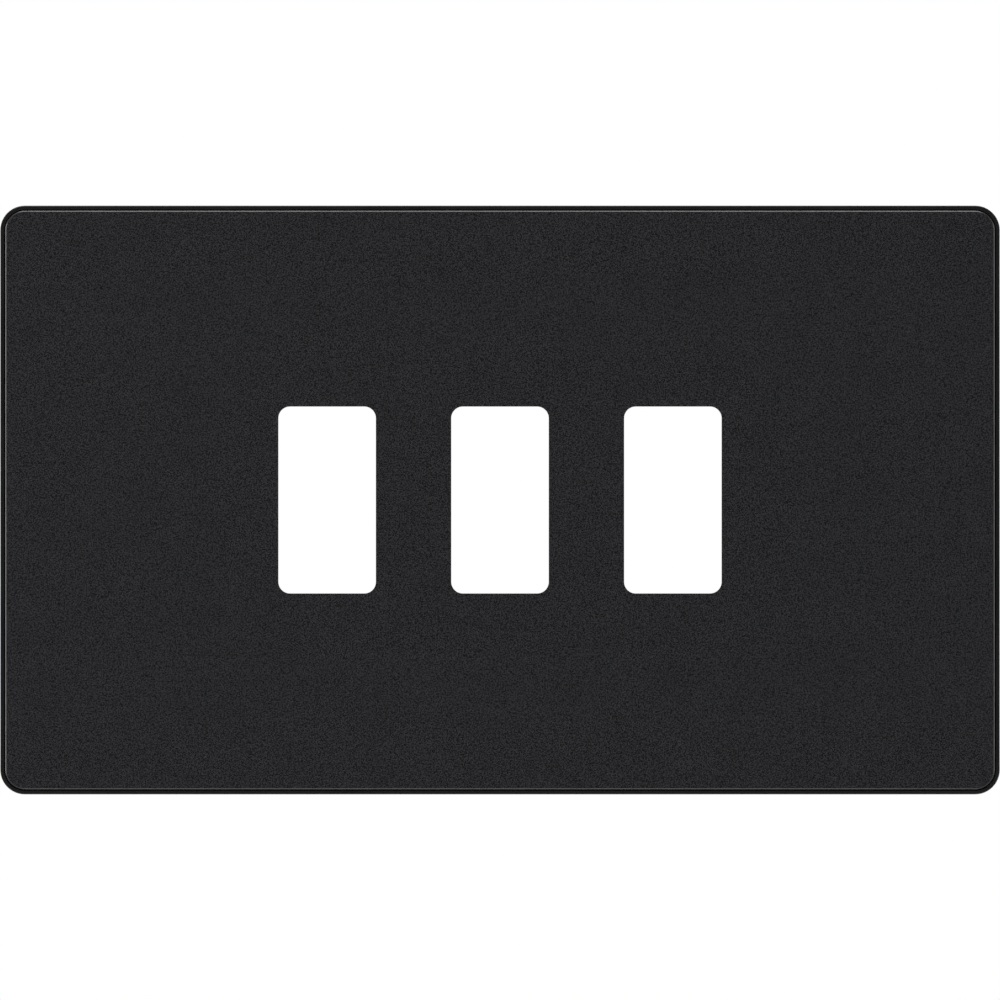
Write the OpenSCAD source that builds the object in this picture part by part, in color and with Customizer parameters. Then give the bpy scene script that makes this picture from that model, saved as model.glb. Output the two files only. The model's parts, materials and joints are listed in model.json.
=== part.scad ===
// Three-aperture screwless grid plate: a clip-on front plate, its moulded surround and the steel yoke
// that both are fixed to.
//
// Every piece is drawn looking at the front of the plate, x to the right, y up and z out of the wall,
// with z = 0 on the wall. stand_up() then turns it so that +Z is up and the front faces -Y. The origin is
// the centre of the plate on the wall plane.

/* [Plate] */
// Overall width of the surround
plate_w = 146; // [140:1:160]
// Overall height of the surround
plate_h = 86; // [84:1:92]
// Distance from the wall to the front of the front plate
plate_depth = 7; // [6.6:0.1:9]
// Outer corner radius of the surround
corner_r = 3.6; // [2:0.1:6]

/* [Front plate] */
// Sheet thickness of the front plate
fascia_t = 1; // [0.8:0.1:1.2]
// Gap between the edge of the front plate and the rim around it
fascia_gap = 0.15; // [0.1:0.05:0.4]
// Bevel on the front edge of the front plate
fascia_bevel = 0.15; // [0.05:0.05:0.3]
// Gap between the back of the front plate and the surround, filled by the foam pads
pad_t = 0.3; // [0.2:0.1:0.6]

/* [Apertures] */
// Number of module apertures
aperture_count = 3; // [1:1:3]
// Width of one aperture
aperture_w = 14.25; // [12:0.25:20]
// Height of one aperture
aperture_h = 27.3; // [24:0.1:30]
// Corner radius of one aperture
aperture_r = 1.7; // [0.5:0.1:3]
// Distance between the centres of neighbouring modules
module_pitch = 25.25; // [24:0.25:26]

/* [Surround] */
// Width of the rim that shows around the front plate
lip_w = 0.6; // [0.55:0.05:1.2]
// How far the crown of the rim lies below the front of the front plate
lip_drop = 0.3; // [0:0.1:0.5]
// Thickness of the surround's outer wall
wall_t = 2.6; // [2:0.1:3]
// Thickness of the surround's floor
floor_t = 2; // [1.6:0.1:2.4]

/* [Yoke] */
// Width of the yoke
yoke_w = 131; // [128:1:134]
// Height of the yoke
yoke_h = 60; // [54:1:60]
// Sheet thickness of the yoke
yoke_t = 1.2; // [1:0.1:1.5]
// Width of the opening that takes the modules
bay_w = 76.5; // [74:0.5:80]
// Height of the opening that takes the modules
bay_h = 38.5; // [36:0.5:42]
// Depth of the flanges bent back along the opening
flange_depth = 6; // [4:0.5:8]

/* [Fixings] */
// Distance between the two fixing screws
fixing_spacing = 120.6; // [120:0.1:121]
// Length of a fixing screw under its head
fixing_length = 25; // [16:1:50]
// Thread radius of a fixing screw
fixing_r = 1.75; // [1.75:0.05:2]
// Thickness of the foam gasket on the wall
gasket_t = 0.8; // [0.5:0.1:1.2]

/* [Clips] */
// Sideways distance of the clips from the centre
clip_x = 46; // [42:0.5:50]
// Height of the outer face of each clip blade above or below the centre
clip_y = 35.4; // [35:0.1:35.6]
// Sheet thickness of a clip blade
blade_t = 0.8; // [0.6:0.1:1]
// Strip thickness of a retaining spring
spring_t = 0.4; // [0.3:0.05:0.5]

/* [Hidden] */
$fn = 64;

cut = 1;                                    // how far cutters reach past what they cut
overlap = 0.1;                              // how far joined solids reach into each other
left = -1;
right = 1;
top = 1;
bottom = -1;

// heights above the wall
fascia_back = plate_depth - fascia_t;
floor_top = fascia_back - pad_t;
floor_back = floor_top - floor_t;
lip_top = plate_depth - lip_drop;

// front plate
fascia_inset = lip_w + fascia_gap;
fascia_w = plate_w - 2 * fascia_inset;
fascia_h = plate_h - 2 * fascia_inset;
fascia_r = corner_r - fascia_inset;

// surround
lip_outer_round = 0.15;
lip_inner_round = 0.1;
lip_foot = 0.5;                             // how far the rim reaches down into the floor
lip_root = floor_top - lip_foot;
window_gap = 0.3;                           // surround's windows are this much larger than the apertures
hollow_r = 1;                               // inner corners of the surround and the gasket
rib_t = 1.2;
rib_x = [12, 34, 58];                       // ribs on the long sides, to either side of the centre
rib_y = [8, 24];                            // ribs on the short sides
rib_edge_gap = 1;                           // from a rib's end to the edge of the yoke
rib_back_gap = 0.3;                         // from a rib's back to the front of the yoke
rib_back = yoke_t + rib_back_gap;
pry_slot_w = 7;
pry_slot_h = 1.1;
pry_slot_depth = 4;
peg_x = 46;
peg_r = 1.5;
peg_back = 0.3;
peg_gap = 0.1;                              // round a peg in its hole in the yoke

// fixing screws, their bosses and washers
fixing_x = fixing_spacing / 2;
head_r = 3.5;
head_h = 2.2;
head_seat = 3.2;
neck_r = 1.5;
shank_hole_r = 2.1;
boss_r = 5.5;
boss_recess_r = 4.3;
washer_r = 3.2;
washer_t = 0.8;
washer_gap = 0.05;                          // round the screw's neck
tip_h = 1;                                  // cone at the end of the thread
tip_taper = 0.7;
slot_w = 1;
slot_depth = 1.1;

// clip stations: v is measured outwards from the outer face of the blade
blade_w = 6;
blade_end = 1.7;
blade_taper = 1.2;
foot_w = 8;
foot_length = 5;
foot_back = fascia_back - blade_t;
pocket_gap = 0.4;
pocket_out = 2.6;
spring_w = 5;
eye_v = 1.45;
eye_z = 1.9;
eye_r = 0.6;
eye_bore_r = 0.25;
seat_r = 0.65;
spring_side_gap = 0.3;
seat_w = spring_w + 2 * spring_side_gap;
block_w = 10.8;
block_in = 0.35;
block_back = 0.9;
lip_v = 0.8;                                // low wall that holds the spring's eye
lip_z = 2.4;
spring_path = [[eye_v, eye_z], [0.3, 4.4], [0.75, 5.1]];

// yoke
yoke_r = 4;
bay_r = 1;
notch_w = 9;
notch_h = 1.6;
notch_front = -2;
fixing_slot_w = 7;

// earth contact spring, riveted to the yoke
contact_x = -52;
contact_w = 6;
contact_t = 0.4;
contact_base = yoke_t + contact_t / 2;
contact_gap = 0.06;                         // from the spring's crest to the front plate
contact_crest = fascia_back - contact_gap - contact_t / 2;
contact_path = [
    [6.5, contact_base], [15, contact_base], [19, 3], [23, 5.2], [25, contact_crest], [27, 5.2], [28.2, 4.4]
];
contact_window = [8, 11.9];
contact_window_y = 23.2;                    // leaves a wall of 0.85 beside the nearest clip opening
rivet_y = 10;
rivet_r = 1.2;
rivet_head_r = 2;
rivet_head_h = 0.8;

// earth terminal
terminal_x = -50;
terminal_y = -18;
bush_r = 2.9;
bush_flange_r = 3.5;
bush_flange_t = 0.6;
bush_back = -2;
terminal_bore_r = 2.05;
terminal_r = 2;
terminal_end = 1.6;
terminal_gap = 0.05;
clamp_size = 9;
clamp_t = 1.2;
clamp_corner_r = 0.8;
clamp_back = bush_back - terminal_gap - clamp_t;
terminal_head_r = 3.6;
terminal_head_h = 2.4;

// gasket and pads
gasket_inset = 0.6;
pad_size = 6;
pad_x = 66;
pad_y = 36;

function module_x(i) = (i - (aperture_count - 1) / 2) * module_pitch;
function unit(v) = v / norm(v);
function left_of(v) = [-v[1], v[0]];
function heading(path, i) = unit(path[i + 1] - path[i]);

// point beside vertex i of a bent strip's middle line, with mitred corners
function beside(path, i, offset) =
    let (
        before = heading(path, max(i - 1, 0)),
        after = heading(path, min(i, len(path) - 2)),
        mitre = unit(left_of(before) + left_of(after))
    )
    path[i] + mitre * offset / (mitre * left_of(after));

// outline of a strip of even thickness that follows a path
function strip_outline(path, thickness) = concat(
    [for (i = [0 : len(path) - 1]) beside(path, i, thickness / 2)],
    [for (i = [len(path) - 1 : -1 : 0]) beside(path, i, -thickness / 2)]
);

module stand_up() {
    rotate([90, 0, 0])
        children();
}

module rounded_rectangle(w, h, r) {
    square([w - 2 * r, h], center = true);
    square([w, h - 2 * r], center = true);
    for (x = [-1, 1], y = [-1, 1])
        translate([x * (w / 2 - r), y * (h / 2 - r)])
            circle(r);
}

module rounded_slab(w, h, r, z_low, z_high) {
    translate([0, 0, z_low])
        linear_extrude(z_high - z_low)
            rounded_rectangle(w, h, r);
}

module box_between(low, high) {
    translate(low)
        cube(high - low);
}

module rod(r, z_low, z_high) {
    translate([0, 0, z_low])
        cylinder(r = r, h = z_high - z_low);
}

// cutter for a hole with round ends, centred, along x
module long_hole(w, r, z_low, z_high) {
    reach = w / 2 - r;
    box_between([-reach, -r, z_low], [reach, r, z_high]);
    for (x = [-reach, reach])
        translate([x, 0])
            rod(r, z_low, z_high);
}

// cross-section of the rim, x inwards from the outer face of the surround and y out of the wall
module lip_section() {
    outer_spring = lip_top - lip_outer_round;   // height where the outer rounding starts
    inner_spring = lip_top - lip_inner_round;
    inner_start = lip_w - lip_inner_round;
    translate([0, lip_root])
        square([lip_w, outer_spring - lip_root]);
    intersection() {
        translate([lip_outer_round, outer_spring])
            circle(lip_outer_round);
        translate([0, outer_spring])
            square(lip_outer_round);
    }
    translate([lip_outer_round, outer_spring])
        square([inner_start - lip_outer_round, lip_outer_round]);
    translate([inner_start, outer_spring])
        square([lip_inner_round, inner_spring - outer_spring]);
    intersection() {
        translate([inner_start, inner_spring])
            circle(lip_inner_round);
        translate([inner_start, inner_spring])
            square(lip_inner_round);
    }
}

// one straight length of the rim, centred, along x, with its outer face at y = reach
module lip_side(length, reach) {
    translate([-length / 2, reach, 0])
        rotate([90, 0, 90])
            linear_extrude(length)
                mirror([1, 0])
                    lip_section();
}

module lip_corner() {
    rotate_extrude(angle = 90)
        translate([corner_r, 0])
            mirror([1, 0])
                lip_section();
}

module lip() {
    straight_w = plate_w - 2 * corner_r;
    straight_h = plate_h - 2 * corner_r;
    for (turn = [0, 180])
        rotate(turn)
            lip_side(straight_w, plate_h / 2);
    for (turn = [90, 270])
        rotate(turn)
            lip_side(straight_h, plate_w / 2);
    translate([straight_w / 2, straight_h / 2])
        lip_corner();
    translate([-straight_w / 2, straight_h / 2])
        rotate(90)
            lip_corner();
    translate([-straight_w / 2, -straight_h / 2])
        rotate(180)
            lip_corner();
    translate([straight_w / 2, -straight_h / 2])
        rotate(270)
            lip_corner();
}

// the children stand at one clip station: x along the plate's edge, y = v outwards, z out of the wall
module at_clip(side, end) {
    translate([side * clip_x, end * clip_y, 0])
        rotate(end < 0 ? 180 : 0)
            children();
}

module at_every_clip() {
    for (side = [left, right], end = [bottom, top])
        at_clip(side, end)
            children();
}

// moulded block behind the floor that carries one retaining spring
module spring_block() {
    wall_v = plate_h / 2 - wall_t - clip_y;
    difference() {
        box_between([-block_w / 2, block_in, block_back], [block_w / 2, wall_v, floor_back]);
        box_between([-seat_w / 2, lip_v, eye_z], [seat_w / 2, pocket_out, floor_back + cut]);
        box_between([-block_w, -cut, lip_z], [block_w, pocket_out, floor_back + cut]);
        translate([-seat_w / 2, eye_v, eye_z])
            rotate([0, 90, 0])
                cylinder(r = seat_r, h = seat_w);
    }
}

// opening in the floor for the blade, its foot and the spring
module clip_pocket() {
    box_between(
        [-foot_w / 2 - pocket_gap, -foot_length - pocket_gap, floor_back - cut],
        [foot_w / 2 + pocket_gap, pocket_out, floor_top + cut]
    );
}

module surround_ribs() {
    inner_h = plate_h / 2 - wall_t;
    inner_w = plate_w / 2 - wall_t;
    rib_top = floor_back + overlap;
    for (turn = [0, 180])
        rotate(turn) {
            for (x = rib_x, side = [left, right])
                box_between(
                    [side * x - rib_t / 2, yoke_h / 2 + rib_edge_gap, rib_back],
                    [side * x + rib_t / 2, inner_h + cut, rib_top]
                );
            for (y = rib_y, side = [bottom, top])
                box_between(
                    [yoke_w / 2 + rib_edge_gap, side * y - rib_t / 2, rib_back],
                    [inner_w + cut, side * y + rib_t / 2, rib_top]
                );
        }
}

module surround() {
    color([0.07, 0.07, 0.075])
        stand_up()
            difference() {
                union() {
                    difference() {
                        rounded_slab(plate_w, plate_h, corner_r, gasket_t, floor_top);
                        rounded_slab(
                            plate_w - 2 * wall_t, plate_h - 2 * wall_t, hollow_r, gasket_t - cut, floor_back
                        );
                    }
                    lip();
                    surround_ribs();
                    at_every_clip()
                        spring_block();
                    for (x = [-1, 1]) {
                        translate([x * fixing_x, 0])
                            rod(boss_r, yoke_t, floor_back + overlap);
                        translate([x * peg_x, 0])
                            rod(peg_r, peg_back, floor_back + overlap);
                    }
                }
                for (i = [0 : aperture_count - 1])
                    translate([module_x(i), 0])
                        rounded_slab(
                            aperture_w + 2 * window_gap, aperture_h + 2 * window_gap, aperture_r + window_gap,
                            floor_back - cut, floor_top + cut
                        );
                for (x = [-1, 1])
                    translate([x * fixing_x, 0]) {
                        rod(boss_recess_r, head_seat, floor_top + cut);
                        rod(shank_hole_r, gasket_t, head_seat + overlap);
                    }
                at_every_clip()
                    clip_pocket();
                translate([contact_x, contact_window_y])
                    translate([-contact_window[0] / 2, -contact_window[1] / 2, floor_back - cut])
                        cube([contact_window[0], contact_window[1], floor_t + 2 * cut]);
                box_between(
                    [-pry_slot_w / 2, -plate_h / 2 - cut, fascia_back - pry_slot_h],
                    [pry_slot_w / 2, -plate_h / 2 + pry_slot_depth, fascia_back]
                );
            }
}

// cross-section of a slab's bevelled front, centred
module bevel_section(width, bevel, z_high) {
    reach = width / 2;
    shoulder = z_high - bevel;
    polygon([
        [-reach, shoulder], [reach, shoulder],
        [reach - bevel, z_high], [-reach + bevel, z_high]
    ]);
}

// slab with a bevel round its front edge
module bevelled_slab(w, h, r, bevel, z_low, z_high) {
    shoulder = z_high - bevel;
    rounded_slab(w, h, r, z_low, shoulder);
    translate([-(w / 2 - r), 0, 0])
        rotate([90, 0, 90])
            linear_extrude(w - 2 * r)
                bevel_section(h, bevel, z_high);
    translate([0, h / 2 - r, 0])
        rotate([90, 0, 0])
            linear_extrude(h - 2 * r)
                bevel_section(w, bevel, z_high);
    for (x = [-1, 1], y = [-1, 1])
        translate([x * (w / 2 - r), y * (h / 2 - r), shoulder])
            cylinder(r1 = r, r2 = r - bevel, h = bevel);
}

module fascia_plate() {
    color([0.16, 0.16, 0.17])
        stand_up()
            difference() {
                bevelled_slab(fascia_w, fascia_h, fascia_r, fascia_bevel, fascia_back, plate_depth);
                for (i = [0 : aperture_count - 1])
                    translate([module_x(i), 0])
                        rounded_slab(
                            aperture_w, aperture_h, aperture_r, fascia_back - cut, plate_depth + cut
                        );
            }
}

module clip_blade(side, end) {
    color([0.62, 0.63, 0.64])
        stand_up()
            at_clip(side, end) {
                box_between([-foot_w / 2, -foot_length, foot_back], [foot_w / 2, 0, fascia_back]);
                rotate([90, 0, 0])
                    linear_extrude(blade_t)
                        polygon([
                            [-blade_w / 2, foot_back], [blade_w / 2, foot_back],
                            [blade_w / 2, blade_end + blade_taper], [blade_w / 2 - blade_taper, blade_end],
                            [-blade_w / 2 + blade_taper, blade_end], [-blade_w / 2, blade_end + blade_taper]
                        ]);
            }
}

module clip_blade_top_left() {
    clip_blade(left, top);
}

module clip_blade_top_right() {
    clip_blade(right, top);
}

module clip_blade_bottom_left() {
    clip_blade(left, bottom);
}

module clip_blade_bottom_right() {
    clip_blade(right, bottom);
}

// leaf spring: a rolled eye in the seat and an arm that leans on the blade
module retaining_spring(side, end) {
    color([0.5, 0.52, 0.56])
        stand_up()
            at_clip(side, end)
                translate([-spring_w / 2, 0, 0])
                    rotate([90, 0, 90])
                        difference() {
                            union() {
                                translate([eye_v, eye_z])
                                    rod(eye_r, 0, spring_w);
                                linear_extrude(spring_w)
                                    polygon(strip_outline(spring_path, spring_t));
                            }
                            translate([eye_v, eye_z])
                                rod(eye_bore_r, -cut, spring_w + cut);
                        }
}

module retaining_spring_top_left() {
    retaining_spring(left, top);
}

module retaining_spring_top_right() {
    retaining_spring(right, top);
}

module retaining_spring_bottom_left() {
    retaining_spring(left, bottom);
}

module retaining_spring_bottom_right() {
    retaining_spring(right, bottom);
}

// flange bent back along the top or the bottom of the module opening, with one notch for each module
module yoke_flange() {
    difference() {
        box_between([-bay_w / 2, bay_h / 2, -flange_depth], [bay_w / 2, bay_h / 2 + yoke_t, yoke_t]);
        for (i = [0 : aperture_count - 1])
            translate([module_x(i), bay_h / 2, 0])
                box_between(
                    [-notch_w / 2, -cut, notch_front - notch_h],
                    [notch_w / 2, yoke_t + cut, notch_front]
                );
    }
}

module yoke() {
    color([0.72, 0.72, 0.7])
        stand_up() {
            difference() {
                rounded_slab(yoke_w, yoke_h, yoke_r, 0, yoke_t);
                rounded_slab(bay_w, bay_h, bay_r, -cut, yoke_t + cut);
                translate([fixing_x, 0])
                    rod(shank_hole_r, -cut, yoke_t + cut);
                translate([-fixing_x, 0])
                    long_hole(fixing_slot_w, shank_hole_r, -cut, yoke_t + cut);
                for (x = [-1, 1])
                    translate([x * peg_x, 0])
                        rod(peg_r + peg_gap, -cut, yoke_t + cut);
                translate([contact_x, rivet_y])
                    rod(rivet_r, -cut, yoke_t + cut);
                translate([terminal_x, terminal_y])
                    rod(bush_r, -cut, yoke_t + cut);
            }
            for (turn = [0, 180])
                rotate(turn)
                    yoke_flange();
        }
}

module fixing_screw(side) {
    thread_end = head_seat - fixing_length;
    color([0.7, 0.7, 0.68])
        stand_up()
            translate([side * fixing_x, 0]) {
                difference() {
                    rod(head_r, head_seat, head_seat + head_h);
                    translate([-head_r - cut, -slot_w / 2, head_seat + head_h - slot_depth])
                        cube([2 * (head_r + cut), slot_w, slot_depth + cut]);
                }
                rod(neck_r, -washer_t - overlap, head_seat + overlap);
                rod(fixing_r, thread_end + tip_h, -washer_t);
                translate([0, 0, thread_end])
                    cylinder(r1 = fixing_r - tip_taper, r2 = fixing_r, h = tip_h);
            }
}

module fixing_screw_left() {
    fixing_screw(left);
}

module fixing_screw_right() {
    fixing_screw(right);
}

module retaining_washer(side) {
    color([0.92, 0.91, 0.86])
        stand_up()
            translate([side * fixing_x, 0])
                difference() {
                    rod(washer_r, -washer_t, 0);
                    rod(neck_r + washer_gap, -washer_t - cut, cut);
                }
}

module retaining_washer_left() {
    retaining_washer(left);
}

module retaining_washer_right() {
    retaining_washer(right);
}

module earth_contact_spring() {
    color([0.72, 0.47, 0.3])
        stand_up()
            translate([contact_x, 0])
                difference() {
                    translate([-contact_w / 2, 0, 0])
                        rotate([90, 0, 90])
                            linear_extrude(contact_w)
                                polygon(strip_outline(contact_path, contact_t));
                    translate([0, rivet_y])
                        rod(rivet_r, yoke_t - cut, yoke_t + contact_t + cut);
                }
}

module earth_contact_rivet() {
    color([0.74, 0.74, 0.74])
        stand_up()
            translate([contact_x, rivet_y]) {
                rod(rivet_r, -overlap, yoke_t + contact_t + overlap);
                rod(rivet_head_r, yoke_t + contact_t, yoke_t + contact_t + rivet_head_h);
                rod(rivet_head_r, -rivet_head_h, 0);
            }
}

module earth_bush() {
    color([0.8, 0.66, 0.35])
        stand_up()
            translate([terminal_x, terminal_y])
                difference() {
                    union() {
                        rod(bush_r, bush_back, yoke_t + overlap);
                        rod(bush_flange_r, yoke_t, yoke_t + bush_flange_t);
                    }
                    rod(terminal_bore_r, bush_back - cut, yoke_t + bush_flange_t + cut);
                }
}

module earth_clamp_washer() {
    color([0.78, 0.78, 0.76])
        stand_up()
            translate([terminal_x, terminal_y])
                difference() {
                    rounded_slab(clamp_size, clamp_size, clamp_corner_r, clamp_back, clamp_back + clamp_t);
                    rod(terminal_bore_r, clamp_back - cut, clamp_back + clamp_t + cut);
                }
}

module earth_screw() {
    head_back = clamp_back - terminal_head_h;
    color([0.8, 0.66, 0.35])
        stand_up()
            translate([terminal_x, terminal_y])
                difference() {
                    union() {
                        rod(terminal_head_r, head_back, clamp_back);
                        rod(terminal_r, clamp_back - overlap, terminal_end);
                    }
                    translate([-terminal_head_r - cut, -slot_w / 2, head_back - cut])
                        cube([2 * (terminal_head_r + cut), slot_w, slot_depth + cut]);
                }
}

module wall_gasket() {
    color([0.25, 0.25, 0.26])
        stand_up()
            difference() {
                rounded_slab(
                    plate_w - 2 * gasket_inset, plate_h - 2 * gasket_inset, corner_r - gasket_inset,
                    0, gasket_t
                );
                rounded_slab(plate_w - 2 * wall_t, plate_h - 2 * wall_t, hollow_r, -cut, gasket_t + cut);
            }
}

module anti_rattle_pads() {
    color([0.3, 0.3, 0.31])
        stand_up()
            for (x = [-pad_x, 0, pad_x], y = [-pad_y, pad_y])
                translate([x - pad_size / 2, y - pad_size / 2, floor_top])
                    cube([pad_size, pad_size, pad_t]);
}

surround();
fascia_plate();
clip_blade_top_left();
clip_blade_top_right();
clip_blade_bottom_left();
clip_blade_bottom_right();
retaining_spring_top_left();
retaining_spring_top_right();
retaining_spring_bottom_left();
retaining_spring_bottom_right();
yoke();
fixing_screw_left();
fixing_screw_right();
retaining_washer_left();
retaining_washer_right();
earth_contact_spring();
earth_contact_rivet();
earth_bush();
earth_clamp_washer();
earth_screw();
wall_gasket();
anti_rattle_pads();
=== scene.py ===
"""Looks of a screwless wall plate with three module apertures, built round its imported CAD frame.

Pieces are modelled in millimetres, looking at the front of the plate: x to the right, y up and z out of the
wall, with z = 0 on the wall. STAND_UP turns them into the row frame, in metres.
"""

import json
import math
from collections import namedtuple

import bmesh
import bpy
from mathutils import Matrix, Vector

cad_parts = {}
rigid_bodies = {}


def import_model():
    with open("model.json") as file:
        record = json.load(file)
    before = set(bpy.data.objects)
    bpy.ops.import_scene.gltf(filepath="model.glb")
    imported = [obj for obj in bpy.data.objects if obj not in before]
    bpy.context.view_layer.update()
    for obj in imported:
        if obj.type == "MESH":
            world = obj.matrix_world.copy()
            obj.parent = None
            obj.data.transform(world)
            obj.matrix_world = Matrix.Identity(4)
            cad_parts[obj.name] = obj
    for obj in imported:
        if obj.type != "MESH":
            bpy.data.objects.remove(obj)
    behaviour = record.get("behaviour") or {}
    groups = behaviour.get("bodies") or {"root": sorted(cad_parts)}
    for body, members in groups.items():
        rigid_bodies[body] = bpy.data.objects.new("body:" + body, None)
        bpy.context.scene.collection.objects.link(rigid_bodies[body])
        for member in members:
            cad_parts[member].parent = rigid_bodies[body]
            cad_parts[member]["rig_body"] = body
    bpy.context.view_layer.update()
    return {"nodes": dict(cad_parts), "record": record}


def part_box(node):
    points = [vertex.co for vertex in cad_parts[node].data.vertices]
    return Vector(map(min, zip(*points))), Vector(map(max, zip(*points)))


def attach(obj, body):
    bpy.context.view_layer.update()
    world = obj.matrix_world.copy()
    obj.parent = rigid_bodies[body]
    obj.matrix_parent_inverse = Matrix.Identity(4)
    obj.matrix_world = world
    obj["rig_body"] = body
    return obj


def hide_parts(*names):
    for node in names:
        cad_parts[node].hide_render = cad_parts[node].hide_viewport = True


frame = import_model()

# ---------------------------------------------------------------- units and sizes, in millimetres

MM = 0.001
STAND_UP = Matrix.Rotation(math.radians(90), 4, "X") @ Matrix.Scale(MM, 4)
CUT = 1.0                       # how far cutters reach past what they cut
OVERLAP = 0.1                   # how far joined solids reach into each other
CORNERS = ("top_left", "top_right", "bottom_left", "bottom_right")
SIDES = ("left", "right")

Box = namedtuple("Box", "low high")
Loop = namedtuple("Loop", "x y w h r")      # a rounded rectangle: its centre, size and corner radius


def face_box(node):
    """A CAD node's box at rest, in millimetres, as seen from the front."""
    low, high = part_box(node)
    return Box(Vector((low.x, low.z, -high.y)) / MM, Vector((high.x, high.z, -low.y)) / MM)


def middle(node):
    """The middle of a CAD node's box, in millimetres, as seen from the front."""
    box = face_box(node)
    return (box.low + box.high) / 2


surround_box = face_box("surround")
fascia_box = face_box("fascia_plate")
yoke_box = face_box("yoke")
PLATE_W = surround_box.high.x - surround_box.low.x
PLATE_H = surround_box.high.y - surround_box.low.y
LIP_TOP = surround_box.high.z
GASKET_TOP = face_box("wall_gasket").high.z
FASCIA_W = fascia_box.high.x - fascia_box.low.x
FASCIA_H = fascia_box.high.y - fascia_box.low.y
FASCIA_BACK = fascia_box.low.z
FASCIA_FRONT = fascia_box.high.z

CORNER_R = 3.6
FASCIA_GAP = 0.15
FASCIA_BEVEL = 0.15
LIP_W = (PLATE_W - FASCIA_W) / 2 - FASCIA_GAP
LIP_OUTER_ROUND = 0.15
LIP_INNER_ROUND = 0.1
WALL_T = 2.6
FLOOR_T = 2.0
FLOOR_TOP = face_box("anti_rattle_pads").low.z
FLOOR_BACK = FLOOR_TOP - FLOOR_T

MODULES_X = [
    mount["pos_m"][0] / MM for mount in frame["record"]["mounts"] if mount["name"].startswith("module_seat")
]
APERTURE_W = 14.25
APERTURE_H = 27.3
APERTURE_R = 1.7
WINDOW_GAP = 0.3

YOKE_T = yoke_box.high.z
SHANK_HOLE_R = 2.1
PEG_X = 46.0
PEG_R = 1.5
RIVET_HOLE_R = 1.2
TERMINAL_BORE_R = 2.05          # of the earth bush and of the clamp washer

# ---------------------------------------------------------------- mesh helpers


def direction(angle):
    """The unit vector at an angle from the first axis."""
    return Vector((math.cos(angle), math.sin(angle)))


def fillet(before, corner, after, radius, steps):
    """Points of the arc that rounds one corner of a path."""
    a = (before - corner).normalized()
    b = (after - corner).normalized()
    half = a.angle(b) / 2
    centre = corner + (a + b).normalized() * radius / math.sin(half)
    start = corner + a * radius / math.tan(half) - centre
    turn = start.angle_signed(corner + b * radius / math.tan(half) - centre)
    first = math.atan2(start.y, start.x)
    return [centre + direction(first - turn * i / steps) * radius for i in range(steps + 1)]


def rounded_path(points, radii, steps=5):
    """A path through points, with each inner corner rounded by its radius; 0 leaves a corner sharp."""
    points = [Vector(p) for p in points]
    if not isinstance(radii, (list, tuple)):
        radii = [radii] * (len(points) - 2)
    path = [points[0]]
    for i, radius in enumerate(radii, start=1):
        if radius:
            path += fillet(points[i - 1], points[i], points[i + 1], radius, steps)
        else:
            path.append(points[i])
    return path + [points[-1]]


def circle(x, y, r):
    return Loop(x, y, 2 * r, 2 * r, r)


def shrunk(loop, d):
    """A loop moved inwards by d all round."""
    return Loop(loop.x, loop.y, loop.w - 2 * d, loop.h - 2 * d, loop.r - d)


def outline(loop, steps):
    """Points anticlockwise round a loop."""
    points = []
    for quarter, (side, end) in enumerate(((1, 1), (-1, 1), (-1, -1), (1, -1))):
        centre = Vector((loop.x + side * (loop.w / 2 - loop.r), loop.y + end * (loop.h / 2 - loop.r)))
        for i in range(steps + 1):
            points.append(centre + direction(math.radians(90 * (quarter + i / steps))) * loop.r)
    return points


def skin(bm, rings, closed=False):
    """Quads between neighbouring rings of vertices; closed joins the last ring to the first."""
    pairs = list(zip(rings, rings[1:]))
    if closed:
        pairs.append((rings[-1], rings[0]))
    for a, b in pairs:
        count = len(a)
        for i in range(count):
            j = (i + 1) % count
            bm.faces.new((a[i], a[j], b[j], b[i])).smooth = True


def close_flat(bm, height):
    """Fills the open edges at one height, leaving the holes in between open."""
    edges = [
        e for e in bm.edges if e.is_boundary and all(abs(v.co.z - height) < 1e-4 for v in e.verts)
    ]
    bmesh.ops.triangle_fill(bm, use_beauty=True, use_dissolve=False, edges=edges)


def slab(outer, edge, holes=(), hole_edge=None, steps=8):
    """A flat piece. edge lists (inset, height) pairs from its back to its front, round the outline, and
    hole_edge does the same round each hole."""
    bm = bmesh.new()
    runs = [(outer, 1, edge)] + [(hole, -1, hole_edge or edge) for hole in holes]
    for loop, inwards, run in runs:
        rings = []
        for inset, height in run:
            points = outline(shrunk(loop, inwards * inset), steps)
            rings.append([bm.verts.new((p.x, p.y, height)) for p in points])
        skin(bm, rings)
    bmesh.ops.remove_doubles(bm, verts=bm.verts, dist=1e-5)
    close_flat(bm, edge[0][1])
    close_flat(bm, edge[-1][1])
    return bm


def rounded_edge(low, high, round_low, round_high, steps=3):
    """(inset, height) pairs up the side of a slab with rounded edges."""
    far = round_low + round_high + 1
    return [
        (p.x, p.y)
        for p in rounded_path([(far, low), (0, low), (0, high), (far, high)], [round_low, round_high], steps)
    ][1:-1]


THREAD_FLAT = 0.12              # share of a pitch that is flat on the crest, and again at the root


def thread_form(share):
    """Depth of a thread, from 0 on its crest to 1 at its root, along one pitch."""
    return min(1.0, max(0.0, (abs(2 * (share % 1) - 1) - THREAD_FLAT) / (1 - 2 * THREAD_FLAT)))


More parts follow.
